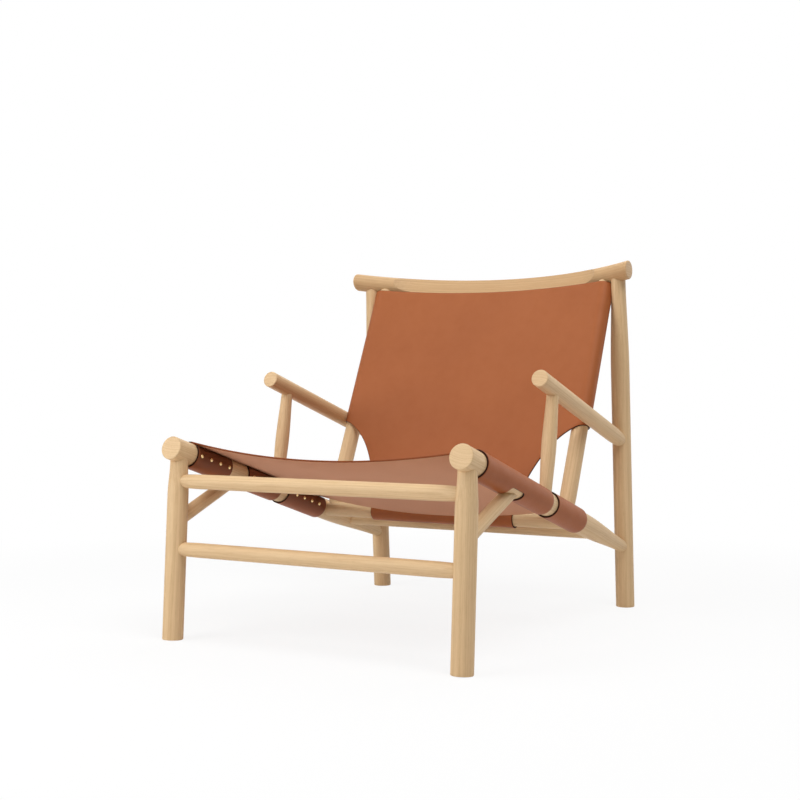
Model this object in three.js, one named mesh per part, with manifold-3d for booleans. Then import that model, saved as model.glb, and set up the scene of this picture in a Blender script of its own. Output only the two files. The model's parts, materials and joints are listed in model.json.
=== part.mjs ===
// Leather sling lounge chair: a frame of round oak members with a leather seat slung between the
// side rails and a leather back slung between two raked uprights.
// Millimetres and degrees. X runs to the right as seen from the front, Y to the back, Z up.
import * as THREE from 'three';
import { mergeVertices } from 'three/addons/utils/BufferGeometryUtils.js';
import Module from 'manifold-3d';

// Side frames, measured on the members' axes
const SIDE_SPACING = 643;
const FOOT_SPACING = 814;
const FRONT_LEG_RAKE = 3.4;
const REAR_LEG_RAKE = 3.8;
const RAIL_HEIGHT = 371.5; // over the front leg
const RAIL_SLOPE = 16.8;
const RAIL_OVERHANG = 28; // in front of the front leg
const ARM_HEIGHT = 376.5; // at the rear leg
const ARM_SLOPE = 17;
const ARM_OVERHANG = 70; // in front of its post
const POST_STATION = 348; // along the rail from the front leg
const POST_RAKE = 10.5;
const BRACE_DROP = 137.5; // below the rail, at the front leg
const BRACE_SLOPE = 21;

// Members between the side frames
const UPPER_STRETCHER_DROP = 59; // below the rail, at the front leg
const LOWER_STRETCHER_DROP = 193;
const BACK_RAIL_STATION = 536; // along the rail from the front leg
const REAR_RAIL_GAP = 113; // behind the back cross rail, along the rail
const UPRIGHT_INSET = 34.5; // from the side frame's plane
const CREST_HEIGHT = 755.5; // over the rear leg
const CREST_OVERHANG = 32; // past the rear leg
const CREST_RADIUS = 712; // of the bow
const CREST_TILT = 13.4; // the bow's middle lies lower than its ends
const CREST_FACET_LENGTH = 526;
const CREST_FACET_DEPTH = 11.5;
const CREST_SCOOP_RADIUS = 120; // of the facet's ends

// Diameters of the oak members, and how far their tapers run
const LEG_DIAMETER = 41.5;
const FRONT_LEG_TOP_DIAMETER = 35.5;
const FRONT_LEG_TAPER = 62;
const REAR_LEG_TOP_DIAMETER = 32;
const REAR_LEG_TAPER = 220;
const RAIL_DIAMETER = 47;
const RAIL_TAIL_DIAMETER = 27;
const RAIL_TAPER = 265;
const ARM_DIAMETER = 35;
const ARM_TAIL_DIAMETER = 29.5;
const ARM_TAPER = 70;
const POST_DIAMETER = 30;
const POST_END_DIAMETER = 24;
const BRACE_DIAMETER = 28;
const STRETCHER_DIAMETER = 29;
const STRETCHER_END_DIAMETER = 26.5;
const STRETCHER_TAPER = 60;
const BACK_RAIL_DIAMETER = 33;
const REAR_RAIL_DIAMETER = 28;
const UPRIGHT_DIAMETER = 35.5;
const UPRIGHT_TOP_DIAMETER = 23;
const UPRIGHT_TAPER = 40;
const UPRIGHT_FOOT_DIAMETER = 30;
const UPRIGHT_FOOT_TAPER = 60;
const CREST_DIAMETER = 41;
const END_ROUND = 2; // softened edge of a sawn end

// Joints
const FIT = 0.3; // clearance between pieces that touch
const TENON_DIAMETER = 16;
const TENON_REACH = 6; // past the axis of the member it enters
const TENON_ROOT = 45; // back from that axis into its own member

// Leather
const LEATHER = 2.4;
const SEAT_FRONT_STATION = 27; // along the rail from the front leg
const SEAT_REAR_GAP = 3.4; // in front of the back's hem
const SEAT_SAG = 30;
const BACK_SAG = 32; // at its top edge
const BACK_TOP_DROP = 25; // below the crest's axis, along the upright
const BACK_SLEEVE_FOOT = 216; // above the back cross rail
const SEAT_FLAP_GAP = 2; // flap's edge below the seat's underside
const BACK_FLAP_RISE = 8; // flap's edge past the middle of the upright's inner side
const POST_SLOT_MARGIN = 2;
const BRACE_SLOT_MARGIN = 7;
const BRACE_SLOT_CORNER = 9;
const BRACE_SLOT_REACH = 23; // outwards from the rail's axis
const HEM_WIDTH = 352;
const HEM_RISE = 20; // straight edge above the back cross rail
const HEM_TURN = 225; // degrees round the back cross rail
const HEM_LAP = 4;
const CUTOUT_BULGE = 40; // corner of the cut-out's curve, beside the hem
const CUTOUT_DROP = 30; // the same corner, below the sleeve's foot

// Brass studs
const STUD_HEAD_DIAMETER = 8;
const STUD_HEAD_HEIGHT = 2.2;
const STUD_SHANK_DIAMETER = 3;
const STUD_BITE = 10; // into the oak
const STUDS_IN_ROW = 4; // where the leather has room for them
const STUD_MARGIN = 8; // from the last stud of a row to the leather's edge
const SEAT_STUD_PITCH = 31;
const BACK_STUD_PITCH = 80;
const HEM_STUD_PITCH = 100;

// Fineness of the faceted surfaces
const TURNED_SIDES = 16;
const ROD_SIDES = 8;
const STUD_SIDES = 6;
const TAPER_STEPS = 3;
const CREST_STEPS = 18;
const WRAP_STEPS = 14;
const HEM_STEPS = 10;
const PANEL_STEPS = 5;
const SAG_ROWS = 5;
const CURVE_STEPS = 8;

const OAK = { color: '#d5b58c', roughness: 0.6, metalness: 0 };
const HIDE = { color: '#ab6541', roughness: 0.5, metalness: 0 };
const BRASS = { color: '#d9b36a', roughness: 0.3, metalness: 1 };

const SIDES = [[-1, 'left'], [1, 'right']];
const ACROSS = new THREE.Vector3(1, 0, 0);
const LATHE_AXIS = new THREE.Vector3(0, 1, 0);
const QUARTER = Math.PI / 2;
const { degToRad, lerp, smoothstep } = THREE.MathUtils;

const wasm = await Module();
wasm.setup();

// A closed geometry as a solid that can be joined and cut.
function solidOf(geometry) {
  const bare = geometry.clone();
  bare.deleteAttribute('normal');
  bare.deleteAttribute('uv');
  const merged = mergeVertices(bare);
  const corners = merged.index.array;
  const triVerts = [];
  for (let first = 0; first < corners.length; first += 3) {
    const triangle = corners.slice(first, first + 3);
    if (new Set(triangle).size === 3) {
      triVerts.push(...triangle);
    }
  }
  return new wasm.Manifold(new wasm.Mesh({
    numProp: 3,
    vertProperties: merged.attributes.position.array,
    triVerts: Uint32Array.from(triVerts),
  }));
}

// A turned solid on a line, from [distance, radius] stations, thicker all over by a growth.
function turned(start, along, stations, growth, sides) {
  const profile = stations.map(([distance, radius]) => new THREE.Vector2(radius + growth, distance));
  profile.unshift(new THREE.Vector2(0, profile[0].y));
  profile.push(new THREE.Vector2(0, profile[profile.length - 1].y));
  const geometry = new THREE.LatheGeometry(profile, sides);
  geometry.applyQuaternion(new THREE.Quaternion().setFromUnitVectors(LATHE_AXIS, along));
  geometry.translate(start.x, start.y, start.z);
  return solidOf(geometry);
}

// A plain round rod.
function rod(start, along, length, diameter, sides) {
  return turned(start, along, [[0, diameter / 2], [length, diameter / 2]], 0, sides);
}

// A flat shape made into a block and placed by its frame.
function prism(shape, low, high, frame) {
  const settings = { depth: high - low, bevelEnabled: false, curveSegments: CURVE_STEPS };
  const geometry = new THREE.ExtrudeGeometry(shape, settings);
  geometry.translate(0, 0, low);
  return solidOf(geometry.applyMatrix4(frame));
}

// A skin through outlines of equal length, closed by a flat face at each end.
function loft(rings, frame) {
  const count = rings[0].length;
  const last = (rings.length - 1) * count;
  const index = [];
  for (let start = 0; start < last; start += count) {
    for (let corner = 0; corner < count; corner += 1) {
      const a = start + corner;
      const b = start + ((corner + 1) % count);
      index.push(a, b, b + count, a, b + count, a + count);
    }
  }
  for (const [a, b, c] of THREE.ShapeUtils.triangulateShape(rings[0], [])) {
    index.push(c, b, a);
  }
  for (const [a, b, c] of THREE.ShapeUtils.triangulateShape(rings[rings.length - 1], [])) {
    index.push(a + last, b + last, c + last);
  }
  const geometry = new THREE.BufferGeometry().setFromPoints(rings.flat());
  geometry.setIndex(index);
  return solidOf(geometry.applyMatrix4(frame));
}

// A line in the side plane, as (back, up), that rises towards the back by its elevation.
class Line {
  constructor(start, elevation) {
    this.start = start;
    this.along = new THREE.Vector2(Math.cos(degToRad(elevation)), Math.sin(degToRad(elevation)));
    this.normal = new THREE.Vector2(-this.along.y, this.along.x);
  }

  at(distance) {
    return this.start.clone().addScaledVector(this.along, distance);
  }

  atHeight(height) {
    return this.at((height - this.start.y) / this.along.y);
  }

  // How far along this line another one crosses it, beside it by an offset.
  crossing(other, offset = 0) {
    const start = this.start.clone().addScaledVector(this.normal, offset);
    const gap = other.start.clone().sub(start);
    return gap.cross(other.along) / this.along.cross(other.along);
  }
}

// A wooden piece, with the slightly larger envelope that its neighbours are cut to.
class Member {
  constructor(name, shape) {
    this.name = name;
    this.solid = shape(0);
    this.envelope = shape(FIT);
  }

  // Hollows this member where another one lies against it.
  clear(other) {
    this.solid = this.solid.subtract(other.envelope);
  }

  // Joins this member's end to a host: a hollowed shoulder, and a round tenon in a bored mortise.
  joinTo(host, joint, otherEnd) {
    const inward = joint.clone().sub(otherEnd).normalize();
    const root = joint.clone().addScaledVector(inward, -TENON_ROOT);
    const length = TENON_ROOT + TENON_REACH;
    this.clear(host);
    this.solid = this.solid.add(rod(root, inward, length, TENON_DIAMETER, ROD_SIDES));
    host.bore(root, inward, length, TENON_DIAMETER);
  }

  // Drills a hole with clearance all round.
  bore(start, inward, length, diameter, sides = ROD_SIDES) {
    this.solid = this.solid.subtract(rod(start, inward, length + FIT, diameter + 2 * FIT, sides));
  }
}

// A round member between two points.
function dowel(name, from, to, stations) {
  const along = to.clone().sub(from).normalize();
  return new Member(name, (growth) => turned(from, along, stations, growth, TURNED_SIDES));
}

// Stations of a smooth change of diameter along a member.
function taper(start, end, fromDiameter, toDiameter) {
  return Array.from({ length: TAPER_STEPS + 1 }, (unused, step) => {
    const part = step / TAPER_STEPS;
    return [lerp(start, end, part), lerp(fromDiameter, toDiameter, smoothstep(part, 0, 1)) / 2];
  });
}

// The side frame's lines in its own plane, and where they meet
const halfSide = SIDE_SPACING / 2;
const frontLegLine = new Line(new THREE.Vector2(0, 0), 90 - FRONT_LEG_RAKE);
const rearLegLine = new Line(new THREE.Vector2(FOOT_SPACING, 0), 90 + REAR_LEG_RAKE);
const railLine = new Line(frontLegLine.atHeight(RAIL_HEIGHT), -RAIL_SLOPE);
const armLine = new Line(rearLegLine.atHeight(ARM_HEIGHT), 180 - ARM_SLOPE);
const postLine = new Line(railLine.at(POST_STATION), 90 - POST_RAKE);
const braceLine = new Line(frontLegLine.atHeight(RAIL_HEIGHT - BRACE_DROP), BRACE_SLOPE);
const railLength = railLine.crossing(rearLegLine);
const frontLegLength = frontLegLine.crossing(railLine);
const rearLegTop = rearLegLine.atHeight(CREST_HEIGHT);
const rearLegLength = rearLegTop.distanceTo(rearLegLine.start);
const postLength = postLine.crossing(armLine);
const armLength = armLine.crossing(postLine) + ARM_OVERHANG;
const braceLength = braceLine.crossing(railLine);
const backRail = railLine.at(BACK_RAIL_STATION);
const rearRail = railLine.at(BACK_RAIL_STATION + REAR_RAIL_GAP);

// The crest's bow lies in a plane that falls towards the back
const halfCrest = halfSide + CREST_OVERHANG;
const crestRadius = CREST_DIAMETER / 2;
const crestFront = new THREE.Vector3(0, -Math.cos(degToRad(CREST_TILT)), Math.sin(degToRad(CREST_TILT)));
const bowDepth = (x, radius) => radius - Math.sqrt(radius ** 2 - x ** 2);
const crestMiddle = new THREE.Vector3(0, rearLegTop.x, rearLegTop.y)
  .addScaledVector(crestFront, -bowDepth(halfSide, CREST_RADIUS));
const crestPoint = (x) => crestMiddle.clone().setX(x).addScaledVector(crestFront, bowDepth(x, CREST_RADIUS));
const crestFrame = new THREE.Matrix4()
  .makeBasis(ACROSS, crestFront, ACROSS.clone().cross(crestFront))
  .setPosition(crestMiddle);

class Bow extends THREE.Curve {
  getPoint(part, target = new THREE.Vector3()) {
    const reach = halfCrest + CREST_DIAMETER;
    return target.copy(crestPoint(lerp(-reach, reach, part)));
  }
}

// A rectangle as a flat shape.
function rectangle(left, low, right, high) {
  return new THREE.Shape([[left, low], [right, low], [right, high], [left, high]]
    .map(([x, y]) => new THREE.Vector2(x, y)));
}

// The bowed crest rail: round, sawn square to the chair's width, its front planed parallel to the back.
function crestShape(growth) {
  const radius = crestRadius + growth;
  const circle = Array.from({ length: TURNED_SIDES }, (unused, side) => {
    const angle = (side / TURNED_SIDES) * 2 * Math.PI;
    return new THREE.Vector2(radius * Math.cos(angle), radius * Math.sin(angle));
  });
  const sweep = { steps: CREST_STEPS, extrudePath: new Bow(), bevelEnabled: false };
  let crest = solidOf(new THREE.ExtrudeGeometry(new THREE.Shape(circle), sweep));
  const end = halfCrest + growth;
  const waste = end + 2 * CREST_DIAMETER;
  for (const [side] of SIDES) {
    const saw = rectangle(side * end, -CREST_DIAMETER, side * waste, CREST_RADIUS);
    crest = crest.subtract(prism(saw, -CREST_DIAMETER, CREST_DIAMETER, crestFrame));
  }
  const lean = Math.atan2(uprightAlong.y, uprightAlong.z) - degToRad(CREST_TILT);
  const innerBow = CREST_RADIUS - crestRadius / Math.cos(lean);
  const facetBow = innerBow + (CREST_FACET_DEPTH - growth) / Math.cos(lean);
  const scoopBow = facetBow - CREST_SCOOP_RADIUS;
  const scoopTurn = Math.acos((innerBow ** 2 - scoopBow ** 2 - CREST_SCOOP_RADIUS ** 2)
    / (2 * CREST_SCOOP_RADIUS * scoopBow));
  const swing = Math.asin(CREST_FACET_LENGTH / 2 / innerBow)
    - Math.asin(CREST_SCOOP_RADIUS * Math.sin(scoopTurn) / innerBow);
  const scoopX = scoopBow * Math.sin(swing);
  const scoopY = CREST_RADIUS - scoopBow * Math.cos(swing);
  const plane = new THREE.Shape();
  plane.absarc(0, CREST_RADIUS, facetBow, -QUARTER - swing, -QUARTER + swing);
  plane.absarc(scoopX, scoopY, CREST_SCOOP_RADIUS, -QUARTER + swing, swing);
  plane.absarc(-scoopX, scoopY, CREST_SCOOP_RADIUS, 2 * QUARTER - swing, 3 * QUARTER - swing);
  const leaned = crestFrame.clone().multiply(new THREE.Matrix4().makeShear(0, 0, 0, 0, 0, Math.tan(lean)));
  return crest.subtract(prism(plane, -CREST_DIAMETER, CREST_DIAMETER, leaned));
}

// The back: its uprights stand on the back cross rail and reach the crest
const halfUpright = halfSide - UPRIGHT_INSET;
const uprightFoot = new THREE.Vector3(0, backRail.x, backRail.y);
const uprightTop = crestPoint(halfUpright).setX(0);
const uprightLength = uprightTop.distanceTo(uprightFoot);
const uprightAlong = uprightTop.clone().sub(uprightFoot).normalize();
const backTop = uprightLength - BACK_TOP_DROP;
const uprightStations = [
  ...taper(0, UPRIGHT_FOOT_TAPER, UPRIGHT_FOOT_DIAMETER, UPRIGHT_DIAMETER),
  ...taper(uprightLength - UPRIGHT_TAPER, uprightLength, UPRIGHT_DIAMETER, UPRIGHT_TOP_DIAMETER),
];

// Oak members, the shared ones first
const across = (flat, half) => SIDES.map(([side]) => new THREE.Vector3(side * half, flat.x, flat.y));
const oak = [];
const make = (name, from, to, stations) => {
  const member = dowel(name, from, to, stations);
  oak.push(member);
  return member;
};
const crossMember = (name, flat, stations) => {
  const [from, to] = across(flat, halfSide);
  return { member: make(name, from, to, stations), ends: [from, to] };
};
const plainStations = (length, diameter) => [[0, diameter / 2], [length, diameter / 2]];
const stretcherStations = [
  ...taper(0, STRETCHER_TAPER, STRETCHER_END_DIAMETER, STRETCHER_DIAMETER),
  ...taper(SIDE_SPACING - STRETCHER_TAPER, SIDE_SPACING, STRETCHER_DIAMETER, STRETCHER_END_DIAMETER),
];
const stretcherAt = (drop) => frontLegLine.atHeight(RAIL_HEIGHT - drop);
const stretchers = [
  crossMember('front_stretcher_upper', stretcherAt(UPPER_STRETCHER_DROP), stretcherStations),
  crossMember('front_stretcher_lower', stretcherAt(LOWER_STRETCHER_DROP), stretcherStations),
];
const backRailStations = plainStations(SIDE_SPACING, BACK_RAIL_DIAMETER);
const rearRailStations = plainStations(SIDE_SPACING, REAR_RAIL_DIAMETER);
const backCrossRail = crossMember('back_cross_rail', backRail, backRailStations);
const rearCrossRail = crossMember('rear_cross_rail', rearRail, rearRailStations);
const crest = new Member('crest_rail', crestShape);
oak.push(crest);

// The legs are sawn flat at the floor
const floorPlan = rectangle(-SIDE_SPACING, -FOOT_SPACING, SIDE_SPACING, 2 * FOOT_SPACING);
const floor = prism(floorPlan, -2 * LEG_DIAMETER, 0, new THREE.Matrix4());
const softEnd = (diameter) => [[0, diameter / 2 - END_ROUND], [END_ROUND, diameter / 2]];
const rails = [];
const uprights = [];
const backNeighbours = [];

// Each side's members, and their joints
SIDES.forEach(([side, label], end) => {
  const at = (flat) => new THREE.Vector3(side * halfSide, flat.x, flat.y);
  const railJoint = at(railLine.start);
  const frontFoot = at(frontLegLine.at(-LEG_DIAMETER));
  const frontLeg = make(`front_leg_${label}`, frontFoot, railJoint, [
    [0, LEG_DIAMETER / 2],
    ...taper(LEG_DIAMETER + frontLegLength - RAIL_DIAMETER / 2 - FRONT_LEG_TAPER,
      LEG_DIAMETER + frontLegLength - RAIL_DIAMETER / 2, LEG_DIAMETER, FRONT_LEG_TOP_DIAMETER),
    [LEG_DIAMETER + frontLegLength, FRONT_LEG_TOP_DIAMETER / 2],
  ]);
  const rearFoot = at(rearLegLine.at(-LEG_DIAMETER));
  const rearTop = at(rearLegTop);
  const rearLeg = make(`rear_leg_${label}`, rearFoot, rearTop, [
    [0, LEG_DIAMETER / 2],
    ...taper(LEG_DIAMETER + rearLegLength - REAR_LEG_TAPER,
      LEG_DIAMETER + rearLegLength, LEG_DIAMETER, REAR_LEG_TOP_DIAMETER),
  ]);
  const railFront = at(railLine.at(-RAIL_OVERHANG));
  const railTail = at(railLine.at(railLength));
  const rail = make(`side_rail_${label}`, railFront, railTail, [
    ...softEnd(RAIL_DIAMETER),
    ...taper(RAIL_OVERHANG + railLength - RAIL_TAPER, RAIL_OVERHANG + railLength,
      RAIL_DIAMETER, RAIL_TAIL_DIAMETER),
  ]);
  const armFront = at(armLine.at(armLength));
  const armTail = at(armLine.start);
  const arm = make(`arm_${label}`, armFront, armTail, [
    ...softEnd(ARM_DIAMETER),
    ...taper(armLength - ARM_TAPER, armLength, ARM_DIAMETER, ARM_TAIL_DIAMETER),
  ]);
  const postFoot = at(postLine.start);
  const postTop = at(postLine.at(postLength));
  const post = make(`arm_post_${label}`, postFoot, postTop, [
    ...taper(0, postLength / 2, POST_END_DIAMETER, POST_DIAMETER),
    ...taper(postLength / 2, postLength, POST_DIAMETER, POST_END_DIAMETER).slice(1),
  ]);
  const braceFront = at(braceLine.start);
  const braceTop = at(braceLine.at(braceLength));
  const braceStations = plainStations(braceLength, BRACE_DIAMETER);
  const brace = make(`front_brace_${label}`, braceFront, braceTop, braceStations);
  const foot = uprightFoot.clone().setX(side * halfUpright);
  const top = uprightTop.clone().setX(side * halfUpright);
  const upright = make(`back_upright_${label}`, foot, top, uprightStations);

  frontLeg.solid = frontLeg.solid.subtract(floor);
  rearLeg.solid = rearLeg.solid.subtract(floor);
  frontLeg.joinTo(rail, railJoint, frontFoot);
  rail.joinTo(rearLeg, railTail, railFront);
  arm.joinTo(rearLeg, armTail, armFront);
  post.joinTo(rail, postFoot, postTop);
  post.joinTo(arm, postTop, postFoot);
  brace.joinTo(frontLeg, braceFront, braceTop);
  brace.joinTo(rail, braceTop, braceFront);
  rearLeg.joinTo(crest, rearTop, rearFoot);
  for (const { member, ends } of stretchers) {
    member.joinTo(frontLeg, ends[end], ends[1 - end]);
  }
  for (const { member, ends } of [backCrossRail, rearCrossRail]) {
    member.joinTo(rail, ends[end], ends[1 - end]);
  }
  upright.joinTo(backCrossRail.member, foot, top);
  upright.joinTo(crest, top, foot);
  for (const neighbour of [rail, arm, rearLeg]) {
    upright.clear(neighbour);
  }
  rails.push(rail);
  uprights.push(upright);
  backNeighbours.push(arm, rearLeg);
});

// The bore of a leather sleeve whose flats stay clear of the dowel inside
const sleeveBore = (radius) => (radius + FIT) / Math.cos(Math.PI / WRAP_STEPS);

// The angle at which a sagging sheet leaves the dowels that it hangs between
const hangAngle = (halfSpan, sag) => Math.atan(2 * sag / halfSpan);

// One face of a sling: hung between two dowels and wrapped over, round and under each of them,
// until its flap has risen again beside the dowel
function slingFace(halfSpan, radius, sag, flapRise) {
  const hang = hangAngle(halfSpan, sag);
  const reach = halfSpan - radius * Math.sin(hang);
  const turn = QUARTER + hang + 2 * QUARTER + Math.asin(flapRise / radius);
  const half = [];
  for (let step = 1; step < PANEL_STEPS; step += 1) {
    const x = reach * step / PANEL_STEPS;
    const drop = Math.tan(hang) * reach / 2 * (1 - (x / reach) ** 2);
    half.push(new THREE.Vector2(x, radius * Math.cos(hang) - drop));
  }
  for (let step = 0; step <= WRAP_STEPS; step += 1) {
    const angle = QUARTER + hang - turn * step / WRAP_STEPS;
    half.push(new THREE.Vector2(halfSpan + radius * Math.cos(angle), radius * Math.sin(angle)));
  }
  const mirrored = half.map((point) => new THREE.Vector2(-point.x, point.y)).reverse();
  return [...mirrored, new THREE.Vector2(0, radius * Math.cos(hang) - Math.tan(hang) * reach / 2), ...half];
}

// The sling's closed outline at one place along its dowels
function slingRing(halfSpan, dowelRadius, sag, flapRise, place) {
  const bore = sleeveBore(dowelRadius);
  const outline = [
    ...slingFace(halfSpan, bore, sag, flapRise),
    ...slingFace(halfSpan, bore + LEATHER, sag, flapRise).reverse(),
  ];
  return outline.map((point) => new THREE.Vector3(point.x, point.y, place));
}

// A frame across the chair whose third axis runs against a direction in the side plane
function slingFrame(origin, along) {
  const normal = along.clone().cross(ACROSS).negate();
  return new THREE.Matrix4().makeBasis(ACROSS, normal, along.clone().negate()).setPosition(origin);
}

// Seat sling, in the rails' frame: x across, y square to the rails, z from its rear edge forwards
const railRadius = RAIL_DIAMETER / 2;
const seatBore = sleeveBore(railRadius);
const hemRadius = BACK_RAIL_DIAMETER / 2;
const hemBore = sleeveBore(hemRadius);
const seatRear = BACK_RAIL_STATION - hemBore - LEATHER - SEAT_REAR_GAP;
const seatLength = seatRear - SEAT_FRONT_STATION;
const seatOrigin = railLine.at(seatRear);
const seatFrame = slingFrame(new THREE.Vector3(0, seatOrigin.x, seatOrigin.y),
  new THREE.Vector3(0, railLine.along.x, railLine.along.y));
const seatHang = hangAngle(halfSide, SEAT_SAG);
const flapFace = seatBore + LEATHER;
const seatFlapRise = seatBore * Math.cos(seatHang)
  - (flapFace - seatBore * Math.sin(seatHang)) * Math.tan(seatHang) - SEAT_FLAP_GAP;
const seatRings = [0, seatLength]
  .map((place) => slingRing(halfSide, railRadius, SEAT_SAG, seatFlapRise, place));
let seat = loft(seatRings, seatFrame);

// Slots seen in plan, so that their blocks run square to the rails
const planFrame = seatFrame.clone().multiply(new THREE.Matrix4().makeRotationX(-QUARTER));
const outside = RAIL_DIAMETER;
const postSlot = {
  place: seatRear - railLine.crossing(postLine, seatBore),
  half: POST_END_DIAMETER / 2 + POST_SLOT_MARGIN,
  corner: POST_END_DIAMETER / 2 + POST_SLOT_MARGIN,
};
const braceAngle = degToRad(RAIL_SLOPE + BRACE_SLOPE);
const braceSlot = {
  place: seatRear - railLine.crossing(braceLine, -seatBore),
  half: BRACE_DIAMETER / 2 / Math.sin(braceAngle) + BRACE_SLOT_MARGIN,
  corner: BRACE_SLOT_CORNER,
};

// A slot's outline in plan: straight sides from one x to an end with rounded corners at another
function slotShape(fromX, endX, { place, half, corner }) {
  const away = Math.sign(endX - fromX);
  const cornerX = endX - away * corner;
  const ahead = -QUARTER + away * QUARTER;
  const shape = new THREE.Shape();
  shape.moveTo(fromX, -place - half);
  shape.lineTo(cornerX, -place - half);
  shape.absarc(cornerX, corner - place - half, corner, -QUARTER, ahead, away < 0);
  shape.absarc(cornerX, half - place - corner, corner, ahead, ahead + away * QUARTER, away < 0);
  shape.lineTo(fromX, half - place);
  return shape;
}

const slotBand = (fromX, toX, { place, half }) => rectangle(fromX, -place - half, toX, -place + half);
const cutSeat = (shape, low, high) => {
  seat = seat.subtract(prism(shape, low, high, planFrame));
};

// The post's slot comes up round the outside and ends on top; the brace's ends below the outside
for (const [side] of SIDES) {
  const axis = side * halfSide;
  const inner = axis - side * outside;
  const outer = axis + side * outside;
  const flap = axis - side * (flapFace + FIT);
  cutSeat(slotBand(inner, outer, postSlot), -outside, 0);
  cutSeat(slotShape(outer, axis - side * postSlot.half, postSlot), -railRadius, outside);
  cutSeat(slotShape(inner, axis + side * BRACE_SLOT_REACH, braceSlot), -outside, 0);
  for (const slot of [postSlot, braceSlot]) {
    cutSeat(slotBand(flap, axis, slot), -railRadius, seatFlapRise + FIT);
  }
}

// Back sling, in the uprights' frame: x across, y to the front, z from its top edge down
const backOrigin = uprightFoot.clone().addScaledVector(uprightAlong, backTop);
const backFrame = slingFrame(backOrigin, uprightAlong);
const sagRow = (unused, row) => lerp(backTop, UPRIGHT_FOOT_TAPER, row / (SAG_ROWS - 1));
const backRows = Array.from({ length: SAG_ROWS }, sagRow);
const sagAt = (height) => BACK_SAG * ((height - HEM_LAP) / (backTop - HEM_LAP)) ** 2;
const backRings = backRows.map((height) => slingRing(
  halfUpright, UPRIGHT_DIAMETER / 2, sagAt(height), BACK_FLAP_RISE, backTop - height));
for (const height of [HEM_LAP, 0]) {
  backRings.push(slingRing(halfUpright, hemRadius, 0, BACK_FLAP_RISE, backTop - height));
}
let back = loft(backRings, new THREE.Matrix4());

// Its lower corners are cut away in curves, from the hem up to the feet of the sleeves
const frontFrame = new THREE.Matrix4().makeRotationX(-QUARTER);
const beyond = halfUpright + UPRIGHT_DIAMETER;
for (const [side] of SIDES) {
  const corner = new THREE.Shape();
  corner.moveTo(side * HEM_WIDTH / 2, -backTop - HEM_RISE);
  corner.lineTo(side * HEM_WIDTH / 2, HEM_RISE - backTop);
  corner.quadraticCurveTo(side * (HEM_WIDTH / 2 + CUTOUT_BULGE), BACK_SLEEVE_FOOT - CUTOUT_DROP - backTop,
    side * (halfUpright + UPRIGHT_DIAMETER / 2), BACK_SLEEVE_FOOT - backTop);
  corner.lineTo(side * beyond, BACK_SLEEVE_FOOT - backTop);
  corner.lineTo(side * beyond, -backTop - HEM_RISE);
  back = back.subtract(prism(corner, -UPRIGHT_DIAMETER - BACK_SAG, UPRIGHT_DIAMETER, frontFrame));
}

// The hem turns under the back cross rail and up behind it
function hemFace(radius) {
  const points = [new THREE.Vector2(radius, HEM_LAP)];
  for (let step = 0; step <= HEM_STEPS; step += 1) {
    const angle = -degToRad(HEM_TURN) * step / HEM_STEPS;
    points.push(new THREE.Vector2(radius * Math.cos(angle), radius * Math.sin(angle)));
  }
  return points;
}

const hem = [...hemFace(hemBore), ...hemFace(hemBore + LEATHER).reverse()];
const hemFrame = new THREE.Matrix4().makeBasis(
  new THREE.Vector3(0, 1, 0), new THREE.Vector3(0, 0, -1), new THREE.Vector3(-1, 0, 0));
hemFrame.setPosition(0, 0, backTop);
back = back.add(prism(new THREE.Shape(hem), -HEM_WIDTH / 2, HEM_WIDTH / 2, hemFrame));
back = back.transform(backFrame.elements);
for (const { envelope } of backNeighbours) {
  back = back.subtract(envelope);
}

// Brass studs: a domed head on the leather and a shank through it into the oak
function studGeometry(shankLength) {
  const headRadius = STUD_HEAD_DIAMETER / 2;
  const profile = [
    [0, shankLength], [STUD_SHANK_DIAMETER / 2, shankLength], [STUD_SHANK_DIAMETER / 2, 0],
    [headRadius, 0], [headRadius * Math.cos(QUARTER / 2), -STUD_HEAD_HEIGHT * Math.sin(QUARTER / 2)],
    [0, -STUD_HEAD_HEIGHT],
  ].reverse();
  return new THREE.LatheGeometry(profile.map(([radius, y]) => new THREE.Vector2(radius, y)), STUD_SIDES);
}

const studs = [];

// The places of a row of studs, centred on its stretch of leather
function studRow(low, high, pitch) {
  const room = 1 + Math.floor((high - low - 2 * STUD_MARGIN) / pitch);
  const count = Math.min(STUDS_IN_ROW, room);
  const first = (low + high - (count - 1) * pitch) / 2;
  return Array.from({ length: count }, (unused, number) => first + number * pitch);
}

// Drives one stud square into a dowel's middle and drills the leather and the oak for it
function drive(name, sling, host, surface, inward) {
  const shank = LEATHER + STUD_BITE;
  host.bore(surface, inward, shank, STUD_SHANK_DIAMETER, STUD_SIDES);
  studs.push({ name, surface, inward, shank });
  return sling.subtract(rod(surface, inward, shank, STUD_SHANK_DIAMETER + 2 * FIT, STUD_SIDES));
}

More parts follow.
